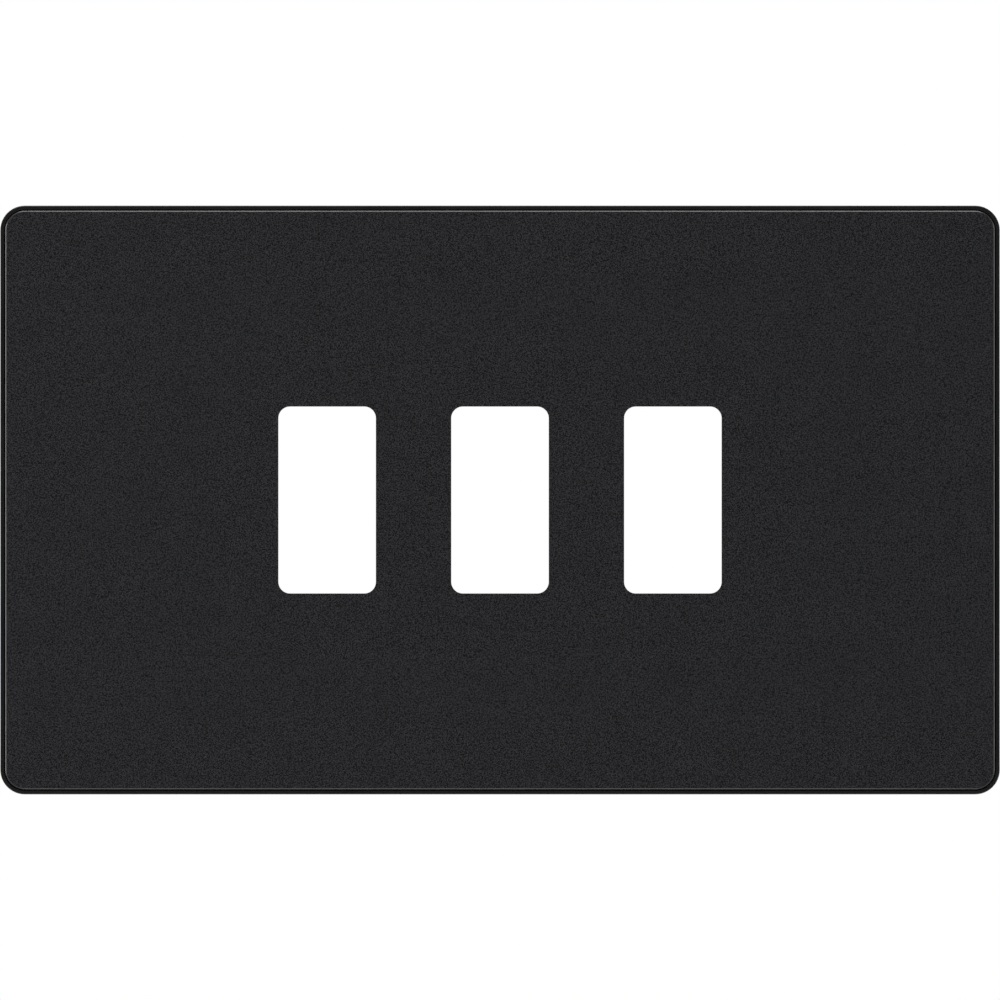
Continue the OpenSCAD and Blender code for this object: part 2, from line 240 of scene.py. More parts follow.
def lathe(profile, segments=48, pitch=1.0, closed=False):
    """Turns (radius, height) pairs about z. A third value is the depth of a thread cut at that height."""
    bm = bmesh.new()
    rings = []
    for r, z, *depth in profile:
        cut = depth[0] if depth else 0.0
        ring = []
        for i in range(segments):
            share = i / segments
            reach = r - cut * thread_form(z / pitch - share)
            spot = direction(2 * math.pi * share) * reach
            ring.append(bm.verts.new((spot.x, spot.y, z)))
        rings.append(ring)
    skin(bm, rings, closed)
    if not closed:
        for ring in (rings[0], rings[-1]):
            bm.faces.new(ring)
    return bm


def threaded(r, low, high, pitch, depth, rows=8):
    """Profile rows of a threaded length, whose thread runs out over one pitch at both ends."""
    count = round((high - low) / pitch * rows)
    found = []
    for i in range(count + 1):
        z = low + (high - low) * i / count
        fade = min(1.0, (z - low) / pitch, (high - z) / pitch)
        found.append((r, z, depth * fade))
    return found


def strip(path, thickness, width_at, edge=0.08):
    """A bent strip: a rounded cross-section follows a path in the y-z plane, with its width along x."""
    bm = bmesh.new()
    rings = []
    for i, p in enumerate(path):
        along = (path[min(i + 1, len(path) - 1)] - path[max(i - 1, 0)]).normalized()
        across = Vector((-along.y, along.x))
        ring = []
        for q in outline(Loop(0, 0, width_at(p), thickness, edge), 2):
            spot = p + across * q.y
            ring.append(bm.verts.new((q.x, spot.x, spot.y)))
        rings.append(ring)
    skin(bm, rings)
    for ring in (rings[0], rings[-1]):
        bm.faces.new(ring)
    return bm


def prism(section, low, high):
    """Extrudes a closed section in the y-z plane along x."""
    bm = bmesh.new()
    rings = [[bm.verts.new((x, p.x, p.y)) for p in section] for x in (low, high)]
    skin(bm, rings)
    for ring in rings:
        bm.faces.new(ring)
    return bm


def add_box(bm, low, high, place=Matrix()):
    """Adds a box between two corners, at a place."""
    low = Vector(low)
    size = Vector(high) - low
    matrix = place @ Matrix.Translation(low + size / 2) @ Matrix.Diagonal((*size, 1))
    bmesh.ops.create_cube(bm, size=1, matrix=matrix)


def add_rod(bm, r, low, high, place=Matrix(), segments=48):
    """Adds a rod along z between two heights, at a place."""
    matrix = place @ Matrix.Translation((0, 0, (low + high) / 2))
    bmesh.ops.create_cone(
        bm, cap_ends=True, segments=segments, radius1=r, radius2=r, depth=high - low, matrix=matrix
    )


def merge(bm, other, place=Matrix()):
    """Adds another mesh to bm, at a place, and frees it."""
    scratch = bpy.data.meshes.new("scratch")
    other.transform(place)
    other.to_mesh(scratch)
    other.free()
    bm.from_mesh(scratch)
    bpy.data.meshes.remove(scratch)


def make_object(name, bm):
    bmesh.ops.recalc_face_normals(bm, faces=bm.faces)
    mesh = bpy.data.meshes.new(name)
    bm.to_mesh(mesh)
    bm.free()
    made = bpy.data.objects.new(name, mesh)
    bpy.context.scene.collection.objects.link(made)
    return made


def apply_modifiers(piece):
    depsgraph = bpy.context.evaluated_depsgraph_get()
    mesh = bpy.data.meshes.new_from_object(piece.evaluated_get(depsgraph))
    old = piece.data
    piece.modifiers.clear()
    piece.data = mesh
    bpy.data.meshes.remove(old)
    mesh.name = piece.name


def combine(piece, bm, operation):
    """Joins a mesh to a piece ("UNION") or cuts it out ("DIFFERENCE")."""
    other = make_object("operand", bm)
    change = piece.modifiers.new("combine", "BOOLEAN")
    change.operation = operation
    change.solver = "EXACT"
    change.use_self = True
    change.object = other
    apply_modifiers(piece)
    mesh = other.data
    bpy.data.objects.remove(other)
    bpy.data.meshes.remove(mesh)


SHEETS = ("fascia_plate", "surround", "yoke", "wall_gasket", "earth_clamp_washer")
SHARP_ANGLE = math.radians(35)
LEVEL = 0.9999                  # a sheet's faces that point this straight forwards or back are shaded flat


def shade(piece, node):
    """Smooth shading between sharp edges. Marking these makes every face smooth, so flat ones come after."""
    for polygon in piece.data.polygons:
        polygon.use_smooth = True
    piece.data.set_sharp_from_angle(angle=SHARP_ANGLE)
    if node in SHEETS:
        for polygon in piece.data.polygons:
            polygon.use_smooth = abs(polygon.normal.z) < LEVEL
    else:
        even = piece.modifiers.new("even_shading", "WEIGHTED_NORMAL")
        even.keep_sharp = True


def install(piece, node, looks):
    """Stands a finished piece up in the row frame, where it stands for a CAD node and rides on its body."""
    shade(piece, node)
    piece.data.transform(STAND_UP)
    for look in looks:
        piece.data.materials.append(look)
    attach(piece, frame["nodes"][node]["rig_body"])
    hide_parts(node)
    return piece


SLOTS = {part["node"]: part["material_slot"] for part in frame["record"]["subparts"]}

# ---------------------------------------------------------------- materials

NOISE_LOW = 0.3                 # noise seldom leaves the range between these
NOISE_HIGH = 0.7


class Look:
    """A procedural material in object coordinates. Sizes of grain are in millimetres."""

    def __init__(self, name, **fixed):
        self.material = bpy.data.materials.new(name)
        self.material.use_nodes = True
        self.nodes = self.material.node_tree.nodes
        self.links = self.material.node_tree.links
        self.shader = self.nodes["Principled BSDF"]
        self.coordinates = self.nodes.new("ShaderNodeTexCoord").outputs["Object"]
        self.normal = None
        for socket, value in fixed.items():
            self.shader.inputs[socket.replace("_", " ")].default_value = value

    def grain(self, size, detail=2.0, stretch=(1, 1, 1), distortion=0.0):
        """Noise with features of about size, drawn out along an axis by stretch."""
        mapping = self.nodes.new("ShaderNodeMapping")
        mapping.inputs["Scale"].default_value = [1 / s for s in stretch]
        self.links.new(self.coordinates, mapping.inputs["Vector"])
        noise = self.nodes.new("ShaderNodeTexNoise")
        noise.inputs["Scale"].default_value = 1 / (size * MM)
        noise.inputs["Detail"].default_value = detail
        noise.inputs["Distortion"].default_value = distortion
        self.links.new(mapping.outputs["Vector"], noise.inputs["Vector"])
        return noise.outputs["Fac"]

    def cells(self, size):
        """Distance from the middle of the nearest cell."""
        cells = self.nodes.new("ShaderNodeTexVoronoi")
        cells.inputs["Scale"].default_value = 1 / (size * MM)
        self.links.new(self.coordinates, cells.inputs["Vector"])
        return cells.outputs["Distance"]

    def mix(self, share, low, high, spread=0.2):
        """A colour between low and high, reached where share is spread under or over one half."""
        ramp = self.nodes.new("ShaderNodeValToRGB")
        ramp.color_ramp.elements[0].position = 0.5 - spread
        ramp.color_ramp.elements[0].color = (*low, 1)
        ramp.color_ramp.elements[1].position = 0.5 + spread
        ramp.color_ramp.elements[1].color = (*high, 1)
        self.links.new(share, ramp.inputs["Fac"])
        return ramp.outputs["Color"]

    def blotches(self, share, low, high):
        """Multiplies the colour so far by a slow variation between two tints."""
        source = self.shader.inputs["Base Color"].links[0].from_socket
        mix = self.nodes.new("ShaderNodeMix")
        mix.data_type = "RGBA"
        mix.blend_type = "MULTIPLY"
        mix.inputs["Factor"].default_value = 1.0
        self.links.new(source, mix.inputs["A"])
        self.links.new(self.mix(share, low, high), mix.inputs["B"])
        self.links.new(mix.outputs["Result"], self.shader.inputs["Base Color"])

    def colour(self, share, low, high, spread=0.2):
        """Sets the base colour between low and high."""
        self.links.new(self.mix(share, low, high, spread), self.shader.inputs["Base Color"])

    def roughness(self, share, low, high):
        """Sets the roughness between low and high."""
        span = self.nodes.new("ShaderNodeMapRange")
        span.inputs["From Min"].default_value = NOISE_LOW
        span.inputs["From Max"].default_value = NOISE_HIGH
        span.inputs["To Min"].default_value = low
        span.inputs["To Max"].default_value = high
        self.links.new(share, span.inputs["Value"])
        self.links.new(span.outputs["Result"], self.shader.inputs["Roughness"])

    def relief(self, share, depth):
        """Adds bumps as deep as depth, in millimetres."""
        bump = self.nodes.new("ShaderNodeBump")
        bump.inputs["Strength"].default_value = 1.0
        bump.inputs["Distance"].default_value = depth * MM
        self.links.new(share, bump.inputs["Height"])
        if self.normal:
            self.links.new(self.normal, bump.inputs["Normal"])
        self.normal = bump.outputs["Normal"]
        self.links.new(self.normal, self.shader.inputs["Normal"])


def textured_coat():
    """Matt powder coat with a fine orange-peel texture; glints and shade of the peel are partly painted into
    its colour.
    """
    look = Look("textured_black_coat", Specular_IOR_Level=0.3)
    peel_and_glints = look.grain(0.18, detail=1.0, distortion=0.6)
    # The colour follows the peel's height, lighter on the crests and darker in the hollows: the coat's own
    # speckle together with painted glints and painted shade of the relief.
    look.colour(peel_and_glints, (0.0005, 0.0005, 0.0006), (0.05, 0.05, 0.0585), spread=0.06)
    look.blotches(look.grain(7.0), (0.88, 0.88, 0.88), (1.0, 1.0, 1.0))
    look.roughness(look.grain(0.6), 0.5, 0.62)
    look.relief(peel_and_glints, 0.045)
    return look.material


def thin_coat():
    """The same coat where it thins over an edge: smoother and a little polished by handling."""
    look = Look("coat_edge")
    look.colour(look.grain(0.5), (0.018, 0.018, 0.019), (0.03, 0.03, 0.032))
    look.roughness(look.grain(1.5), 0.26, 0.36)
    look.relief(look.grain(0.4), 0.004)
    return look.material


def black_plastic():
    """Satin black moulding with fine spark-eroded texture and faint flow marks."""
    look = Look("black_plastic")
    look.colour(look.grain(3.0, detail=3), (0.0055, 0.0055, 0.0058), (0.0085, 0.0085, 0.0089))
    look.roughness(look.grain(9.0, detail=4), 0.3, 0.42)
    look.relief(look.grain(0.18), 0.004)
    return look.material


def zinc_plate():
    """Bright zinc plate: rolled grain, blue and straw passivation and small dull patches."""
    look = Look("zinc_plated_steel", Metallic=1.0)
    look.colour(look.grain(0.5, stretch=(14, 1, 1)), (0.5, 0.51, 0.53), (0.64, 0.64, 0.63))
    look.blotches(look.grain(16.0, detail=3, distortion=1.2), (0.86, 0.9, 1.0), (1.0, 0.97, 0.86))
    look.roughness(look.grain(5.0, detail=5), 0.26, 0.44)
    look.relief(look.grain(0.3, stretch=(20, 1, 1)), 0.004)
    return look.material


def screw_plate():
    """Zinc plate on small turned parts."""
    look = Look("plated_screw_steel", Metallic=1.0)
    look.colour(look.grain(0.6, detail=3), (0.36, 0.36, 0.355), (0.5, 0.5, 0.485))
    look.blotches(look.grain(3.5), (0.9, 0.93, 1.0), (1.0, 0.96, 0.84))
    look.roughness(look.grain(1.2, detail=4), 0.3, 0.46)
    look.relief(look.grain(0.15), 0.003)
    return look.material


def blade_steel():
    """Zinc plated strip with rolling lines."""
    look = Look("blade_steel", Metallic=1.0)
    look.colour(look.grain(0.4, stretch=(1, 12, 1)), (0.42, 0.43, 0.45), (0.56, 0.56, 0.55))
    look.blotches(look.grain(4.0), (0.88, 0.92, 1.0), (1.0, 0.97, 0.88))
    look.roughness(look.grain(2.0, detail=4), 0.26, 0.42)
    look.relief(look.grain(0.2, stretch=(1, 14, 1)), 0.003)
    return look.material


def spring_steel():
    """Blued strip with rolling lines along its length."""
    look = Look("spring_steel", Metallic=1.0)
    look.colour(look.grain(0.25, stretch=(1, 1, 16)), (0.2, 0.23, 0.3), (0.34, 0.36, 0.42))
    look.blotches(look.grain(2.5), (0.8, 0.88, 1.0), (1.0, 0.95, 0.85))
    look.roughness(look.grain(1.5, detail=3), 0.24, 0.38)
    look.relief(look.grain(0.16, stretch=(1, 1, 16)), 0.002)
    return look.material


def rivet_metal():
    """Plain metal as the riveting tool leaves it."""
    look = Look("rivet_steel", Metallic=1.0)
    look.colour(look.grain(0.5, detail=4), (0.44, 0.44, 0.44), (0.6, 0.6, 0.59))
    look.roughness(look.grain(0.8, detail=3), 0.3, 0.46)
    look.relief(look.grain(0.25), 0.006)
    return look.material


def nylon():
    """Natural nylon, slightly translucent."""
    look = Look("natural_nylon", Subsurface_Weight=0.35, Subsurface_Scale=0.001)
    look.colour(look.grain(1.4, detail=3), (0.56, 0.53, 0.44), (0.66, 0.63, 0.54))
    look.roughness(look.grain(1.0), 0.34, 0.46)
    look.relief(look.grain(0.2), 0.004)
    return look.material


def bronze():
    """Rolled phosphor bronze, slightly stained."""
    look = Look("phosphor_bronze", Metallic=1.0)
    look.colour(look.grain(0.3, stretch=(1, 1, 12)), (0.52, 0.3, 0.16), (0.68, 0.42, 0.25))
    look.blotches(look.grain(4.0, detail=3), (0.84, 0.78, 0.72), (1.0, 1.0, 1.0))
    look.roughness(look.grain(1.6, detail=4), 0.24, 0.4)
    look.relief(look.grain(0.18, stretch=(1, 1, 14)), 0.003)
    return look.material


def brass():
    """Turned brass: fine tool marks across the axis and some tarnish."""
    look = Look("brass", Metallic=1.0)
    look.colour(look.grain(0.15, stretch=(8, 1, 8)), (0.56, 0.41, 0.15), (0.72, 0.55, 0.26))
    look.blotches(look.grain(2.5, detail=3), (0.8, 0.74, 0.64), (1.0, 1.0, 1.0))
    look.roughness(look.grain(1.0, detail=3), 0.2, 0.36)
    look.relief(look.grain(0.12, stretch=(8, 1, 8)), 0.003)
    return look.material


def foam():
    """Closed-cell foam with open cut cells on its surface."""
    look = Look("black_foam", Specular_IOR_Level=0.2)
    cells = look.cells(0.13)
    look.colour(cells, (0.018, 0.018, 0.019), (0.032, 0.032, 0.034))
    look.roughness(look.grain(1.0), 0.85, 0.97)
    look.relief(cells, 0.02)
    return look.material


LOOKS = {
    "textured_black_coat": textured_coat(),
    "black_plastic": black_plastic(),
    "zinc_plated_steel": zinc_plate(),
    "plated_screw_steel": screw_plate(),
    "blade_steel": blade_steel(),
    "spring_steel": spring_steel(),
    "rivet_steel": rivet_metal(),
    "natural_nylon": nylon(),
    "phosphor_bronze": bronze(),
    "brass": brass(),
    "black_foam": foam(),
}


def finish_piece(node, bm, changes=(), extra_looks=()):
    """Makes a node's piece from a mesh, applies its boolean changes, and installs it."""
    piece = make_object(node + "_finished", bm)
    for operation, other in changes:
        combine(piece, other, operation)
    return install(piece, node, [LOOKS[SLOTS[node]], *extra_looks])


# ---------------------------------------------------------------- front plate


def fascia_plate():
    """The coated sheet, with a softened bevel round its front edge and a faint one at the apertures."""
    bevel_foot = FASCIA_FRONT - FASCIA_BEVEL
    back_round = 0.06
    soft = 0.05
    reach = FASCIA_BEVEL + 1
    corners = [
        (reach, FASCIA_BACK), (0, FASCIA_BACK), (0, bevel_foot), (FASCIA_BEVEL, FASCIA_FRONT),
        (reach, FASCIA_FRONT),
    ]
    edge = [(p.x, p.y) for p in rounded_path(corners, [back_round, soft, soft], 3)][1:-1]
    hole_edge = rounded_edge(FASCIA_BACK, FASCIA_FRONT, back_round, 0.03)
    radius = CORNER_R - LIP_W - FASCIA_GAP
    holes = [Loop(x, 0, APERTURE_W, APERTURE_H, APERTURE_R) for x in MODULES_X]
    bm = slab(Loop(0, 0, FASCIA_W, FASCIA_H, radius), edge, holes, hole_edge, steps=12)
    inside = Loop(0, 0, FASCIA_W - 2 * FASCIA_BEVEL, FASCIA_H - 2 * FASCIA_BEVEL, radius)
    for face in bm.faces:
        spot = face.calc_center_median()
        outside = abs(spot.x) > inside.w / 2 - radius or abs(spot.y) > inside.h / 2 - radius
        face.material_index = int(outside and spot.z > bevel_foot - soft and len(face.verts) == 4)
    finish_piece("fascia_plate", bm, extra_looks=[thin_coat()])


# ---------------------------------------------------------------- clips


def station(corner):
    """The place of one clip: x along the plate's edge, y outwards from the blade's outer face, z out."""
    box = face_box(f"clip_blade_{corner}")
    top = corner.startswith("top")
    spot = Vector(((box.low.x + box.high.x) / 2, box.high.y if top else box.low.y, 0))
    return Matrix.Translation(spot) @ Matrix.Rotation(0 if top else math.pi, 4, "Z")


BLADE_T = 0.8
BLADE_W = 6.0
BLADE_END = face_box("clip_blade_top_left").low.z
BLADE_TAPER = 1.2
FOOT_W = 8.0
FOOT_LENGTH = 5.0


def clip_blade(corner):
    """An L bent from strip, with a wider foot that two spot welds hold to the front plate."""
    half = BLADE_T / 2
    foot_z = FASCIA_BACK - half
    shoulder = -1.6
    step = 0.3
    bend_r = 0.65
    weld_x = 2.0
    weld_y = -3.2
    weld_r = 0.75
    weld_lift = 0.55            # from the back of the foot to the centre of the ball that dents it
    taper_start = BLADE_END + BLADE_TAPER

    def width_at(p):
        if p.y < taper_start:
            return BLADE_W - 2 * (taper_start - p.y)
        share = min(1.0, max(0.0, (p.x - shoulder) / step))
        return FOOT_W + (BLADE_W - FOOT_W) * share

    points = [(-FOOT_LENGTH, foot_z), (shoulder, foot_z), (shoulder + step, foot_z), (-half, foot_z),
              (-half, taper_start), (-half, BLADE_END)]
    bm = strip(rounded_path(points, [0, 0, bend_r, 0], 6), BLADE_T, width_at)
    bm.transform(station(corner))
    welds = bmesh.new()
    for x in (-weld_x, weld_x):
        place = station(corner) @ Matrix.Translation((x, weld_y, FASCIA_BACK - BLADE_T - weld_lift))
        bmesh.ops.create_uvsphere(welds, u_segments=24, v_segments=16, radius=weld_r, matrix=place)
    finish_piece(f"clip_blade_{corner}", bm, [("DIFFERENCE", welds)])


SPRING_T = 0.36
SPRING_W = 5.0
EYE = Vector((1.45, 1.9))       # distance outwards from the blade, and height
EYE_R = 0.42                    # to the middle of the strip


def retaining_spring(corner):
    """A leaf rolled into an eye at its foot, leaning on the blade, with its tip turned away."""
    lean = Vector((0.3, 4.4))
    tip = Vector((0.75, 5.1))
    roll_angle = math.radians(300)
    roll_steps = 20
    bend_r = 0.8
    to_lean = lean - EYE
    bearing = math.atan2(to_lean.y, to_lean.x)
    leave = bearing - math.acos(EYE_R / to_lean.length)
    roll = [
        EYE + direction(leave - roll_angle * (1 - i / roll_steps)) * EYE_R for i in range(roll_steps + 1)
    ]
    path = roll + rounded_path([roll[-1], lean, tip], bend_r, 6)[1:]
    bm = strip(path, SPRING_T, lambda p: SPRING_W, 0.06)
    bm.transform(station(corner))
    finish_piece(f"retaining_spring_{corner}", bm)


# ---------------------------------------------------------------- surround

RIB_T = 1.2
RIB_X = (12, 34, 58)
RIB_Y = (8, 24)
RIB_EDGE_GAP = 1.0
RIB_BACK = YOKE_T + 0.3         # just clear of the yoke's front
BOSS_R = 5.5
BOSS_RECESS_R = 4.3
HEAD_SEAT = 3.2
PEG_BACK = 0.3
POCKET_GAP = 0.4
POCKET_OUT = 2.6                # from the blade outwards to the pocket's far side
POCKET_R = 0.3
BLOCK_W = 10.8
BLOCK_IN = 0.35                 # from the blade outwards to the block that carries the spring
BLOCK_BACK = 0.9
SEAT_R = 0.65
SEAT_W = 5.6
SEAT_CLEAR = 0.02               # keeps the seat's end off the pocket's far side
BLOCK_FRONT = 2.4               # height of the block's low wall, which holds the spring's eye
CONTACT_WINDOW = Loop(middle("earth_contact_rivet").x, 23.2, 8.0, 11.9, 0.4)
PRY_SLOT_W = 7.0
PRY_SLOT_H = 1.1
PRY_SLOT_DEPTH = 4.0


def clip_pocket(corner):
    """The opening in the floor for one blade and its spring."""
    inner = -FOOT_LENGTH - POCKET_GAP
    centre = station(corner) @ Vector((0, (inner + POCKET_OUT) / 2, 0))
    return Loop(centre.x, centre.y, FOOT_W + 2 * POCKET_GAP, POCKET_OUT - inner, POCKET_R)


def surround_shell():
    """The tray: outer wall, rounded rim and floor, with the openings in the floor."""
    corners = [
        (WALL_T + 1, FLOOR_BACK), (WALL_T, FLOOR_BACK), (WALL_T, GASKET_TOP), (0, GASKET_TOP), (0, LIP_TOP),
        (LIP_W, LIP_TOP), (LIP_W, FLOOR_TOP), (LIP_W + 1, FLOOR_TOP),
    ]
    radii = [0.15, 0.15, 0.2, LIP_OUTER_ROUND, LIP_INNER_ROUND, 0.05]
    edge = [(p.x, p.y) for p in rounded_path(corners, radii, 6)][1:-1]
    windows = [
        Loop(x, 0, APERTURE_W + 2 * WINDOW_GAP, APERTURE_H + 2 * WINDOW_GAP, APERTURE_R + WINDOW_GAP)
        for x in MODULES_X
    ]
    holes = windows + [clip_pocket(corner) for corner in CORNERS] + [CONTACT_WINDOW]
    hole_edge = rounded_edge(FLOOR_BACK, FLOOR_TOP, 0.1, 0.15)
    return slab(Loop(0, 0, PLATE_W, PLATE_H, CORNER_R), edge, holes, hole_edge, steps=12)


def surround_additions():
    """Ribs, screw bosses, location pegs and spring blocks, all behind the floor."""
    bm = bmesh.new()
    inner_w = PLATE_W / 2 - WALL_T
    inner_h = PLATE_H / 2 - WALL_T
    top = FLOOR_BACK + OVERLAP
    for turn in (0, math.pi):
        place = Matrix.Rotation(turn, 4, "Z")
        for side in (-1, 1):
            for x in RIB_X:
                low = (side * x - RIB_T / 2, yoke_box.high.y + RIB_EDGE_GAP, RIB_BACK)
                add_box(bm, low, (side * x + RIB_T / 2, inner_h + OVERLAP, top), place)
            for y in RIB_Y:
                low = (yoke_box.high.x + RIB_EDGE_GAP, side * y - RIB_T / 2, RIB_BACK)
                add_box(bm, low, (inner_w + OVERLAP, side * y + RIB_T / 2, top), place)
    for side in SIDES:
        add_rod(bm, BOSS_R, YOKE_T, top, Matrix.Translation((middle(f"fixing_screw_{side}").x, 0, 0)))
    for x in (-PEG_X, PEG_X):
        add_rod(bm, PEG_R, PEG_BACK, top, Matrix.Translation((x, 0, 0)))
    half = BLOCK_W / 2
    for corner in CORNERS:
        place = station(corner)
        outer = inner_h - abs(place.translation.y) + OVERLAP
        add_box(bm, (-half, BLOCK_IN, BLOCK_BACK), (half, POCKET_OUT + OVERLAP, BLOCK_FRONT), place)
        add_box(bm, (-half, POCKET_OUT, BLOCK_BACK), (half, outer, top), place)
    return bm


def surround_cuts():
    """Screw holes, spring seats and the slot that a screwdriver goes in to lift the front plate."""
    bm = bmesh.new()
    for side in SIDES:
        place = Matrix.Translation((middle(f"fixing_screw_{side}").x, 0, 0))
        add_rod(bm, BOSS_RECESS_R, HEAD_SEAT, FLOOR_TOP + CUT, place)
        add_rod(bm, SHANK_HOLE_R, GASKET_TOP - CUT, HEAD_SEAT + OVERLAP, place)
    seat_top = BLOCK_FRONT + CUT
    seat_end = POCKET_OUT - SEAT_CLEAR
    steps = 12
    trough = [EYE + direction(math.pi * (1 + i / steps)) * SEAT_R for i in range(steps + 1)]
    section = [Vector((trough[0].x, seat_top)), *trough]
    section += [Vector(p) for p in ((seat_end, EYE.y), (seat_end, seat_top))]
    for corner in CORNERS:
        merge(bm, prism(section, -SEAT_W / 2, SEAT_W / 2), station(corner))
    add_box(
        bm,
        (-PRY_SLOT_W / 2, -PLATE_H / 2 - CUT, FASCIA_BACK - PRY_SLOT_H),
        (PRY_SLOT_W / 2, -PLATE_H / 2 + PRY_SLOT_DEPTH, FASCIA_BACK),
    )
    return bm


def surround():
    finish_piece(
        "surround", surround_shell(), [("UNION", surround_additions()), ("DIFFERENCE", surround_cuts())]
    )


# ---------------------------------------------------------------- yoke

BAY_W = 76.5
BAY_H = 38.5
YOKE_R = 4.0
BEND_R = 1.4                    # outside of the bend
RELIEF = 0.5                    # slit at each end of a flange
SINK = 0.004                    # how far a flange's root lies below the faces of the sheet
NOTCH_W = 9.0
NOTCH_H = 1.6
NOTCH_FRONT = -2.0
FIXING_SLOT_W = 7.0             # one fixing hole is this wide, so the plate can be set level
PEG_GAP = 0.1
BUSH_HOLE_R = 2.9
ROOT_REACH = 0.8                # how far a flange's root reaches into the sheet past its bend


def yoke_flange(place):
    """One flange, bent back along the module opening, without its notches."""
    root = BAY_H / 2 + BEND_R + ROOT_REACH
    inner = BAY_H / 2
    back = yoke_box.low.z
    front = YOKE_T - SINK
    corners = [
        (root, front), (inner, front), (inner, back), (inner + YOKE_T, back), (inner + YOKE_T, SINK),
        (root, SINK),
    ]
    section = rounded_path(corners, [BEND_R, 0.15, 0.15, BEND_R - YOKE_T], 6)
    bm = prism(section, -BAY_W / 2 + RELIEF, BAY_W / 2 - RELIEF)
    bm.transform(place)
    return bm


def yoke():
    """The zinc-plated steel grid frame."""
    fixing = middle("fixing_screw_right").x
    rivet = middle("earth_contact_rivet")
    bush = middle("earth_bush")
    holes = [
        circle(fixing, 0, SHANK_HOLE_R),
        Loop(-fixing, 0, FIXING_SLOT_W, 2 * SHANK_HOLE_R, SHANK_HOLE_R),
        circle(-PEG_X, 0, PEG_R + PEG_GAP),
        circle(PEG_X, 0, PEG_R + PEG_GAP),
        circle(rivet.x, rivet.y, RIVET_HOLE_R),
        circle(bush.x, bush.y, BUSH_HOLE_R),
    ]
    outer = Loop(0, 0, yoke_box.high.x - yoke_box.low.x, yoke_box.high.y - yoke_box.low.y, YOKE_R)
    bm = slab(outer, rounded_edge(0, YOKE_T, 0.05, 0.2), holes, rounded_edge(0, YOKE_T, 0.05, 0.15), steps=10)
    bay = slab(Loop(0, 0, BAY_W, BAY_H + 2 * BEND_R, 1.0), [(0, -CUT), (0, YOKE_T + CUT)])
    flanges = bmesh.new()
    notches = bmesh.new()
    for turn in (0, math.pi):
        place = Matrix.Rotation(turn, 4, "Z")
        merge(flanges, yoke_flange(place))
        for x in MODULES_X:
            low = (x - NOTCH_W / 2, BAY_H / 2 - CUT, NOTCH_FRONT - NOTCH_H)
            add_box(notches, low, (x + NOTCH_W / 2, BAY_H / 2 + YOKE_T + CUT, NOTCH_FRONT), place)
    finish_piece("yoke", bm, [("DIFFERENCE", bay), ("UNION", flanges), ("DIFFERENCE", notches)])


# ---------------------------------------------------------------- screws, washers, rivet and bush

SLOT_W = 1.0
SLOT_DEPTH = 1.1
SCREW_END_R = 0.05              # of the small flat face that closes each end of a turned screw


def slot_cutter(r, low, high):
    """Cutter for a screwdriver slot right across a head of radius r."""
    bm = bmesh.new()
    add_box(bm, (-r - CUT, -SLOT_W / 2, low), (r + CUT, SLOT_W / 2, high))
    return bm


def fixing_screw(side):
    """A slotted pan-head M3.5 screw with a plain neck."""
    node = f"fixing_screw_{side}"
    box = face_box(node)
    place = Matrix.Translation((middle(node).x, 0, 0))
    head_r = (box.high.x - box.low.x) / 2
    head_top = box.high.z
    neck_r = 1.5
    thread_r = 1.75
    pitch = 0.6
    thread_depth = 0.33
    tip = box.low.z
    tip_r = 0.9
    tip_h = 1.0
    crown_r = 0.6
    crown_h = 0.35
    washer_back = face_box(f"retaining_washer_{side}").low.z
    head = rounded_path(
        [
            (neck_r, HEAD_SEAT), (head_r, HEAD_SEAT), (head_r, head_top - crown_h), (crown_r, head_top),
            (SCREW_END_R, head_top),
        ],
        [0.12, 0.9, 0], 5
    )
    shaft = threaded(thread_r, tip + tip_h, washer_back, pitch, thread_depth)
    profile = [
        (SCREW_END_R, tip), (tip_r, tip), *shaft, (neck_r, washer_back), *[(p.x, p.y) for p in head],
    ]
    bm = lathe(profile, pitch=pitch)
    slot = slot_cutter(head_r, head_top - SLOT_DEPTH, head_top + CUT)
    bm.transform(place)
    slot.transform(place)
    finish_piece(node, bm, [("DIFFERENCE", slot)])


def retaining_washer(side):
    """The nylon washer that keeps a fixing screw in the yoke."""
    node = f"retaining_washer_{side}"
    box = face_box(node)
    outer = (box.high.x - box.low.x) / 2
    inner = 1.55                # clears the neck of the screw by 0.05
    ring = closed_ring(inner, outer, box.low.z, box.high.z, 0.15)
    bm = lathe(ring, closed=True)
    bm.transform(Matrix.Translation((middle(node).x, 0, 0)))
    finish_piece(node, bm)


def closed_ring(inner, outer, low, high, radius):
    """Profile of a washer with rounded edges."""
    half_w = (outer - inner) / 2
    half_h = (high - low) / 2
    loop = Loop(inner + half_w, low + half_h, 2 * half_w, 2 * half_h, radius)
    return [(p.x, p.y) for p in outline(loop, 4)]


def earth_contact_spring():
    """A phosphor bronze leaf, riveted at its foot and crowned where it touches the front plate."""
    box = face_box("earth_contact_spring")
    rivet = middle("earth_contact_rivet")
    thickness = 0.4
    headroom = 0.01             # keeps the rounded crest inside the CAD node's box
    narrows_from = 22
    narrows_over = 6
    narrows_by = 1.2
    base = YOKE_T + thickness / 2
    crest = box.high.z - thickness / 2 - headroom
    points = [(6.5, base), (15, base), (19, 3), (23, 5.2), (25, crest), (27, 5.2), (28.2, 4.4)]
    width = box.high.x - box.low.x
    path = rounded_path(points, [2.5, 4, 3, 1.8, 1.2], 5)

    def width_at(p):
        return width - narrows_by * max(0.0, (p.x - narrows_from) / narrows_over)

    bm = strip(path, thickness, width_at, 0.1)
    bm.transform(Matrix.Translation((middle("earth_contact_spring").x, 0, 0)))
    hole = bmesh.new()
    add_rod(hole, RIVET_HOLE_R, 0, base + CUT, Matrix.Translation((rivet.x, rivet.y, 0)))
    finish_piece("earth_contact_spring", bm, [("DIFFERENCE", hole)])


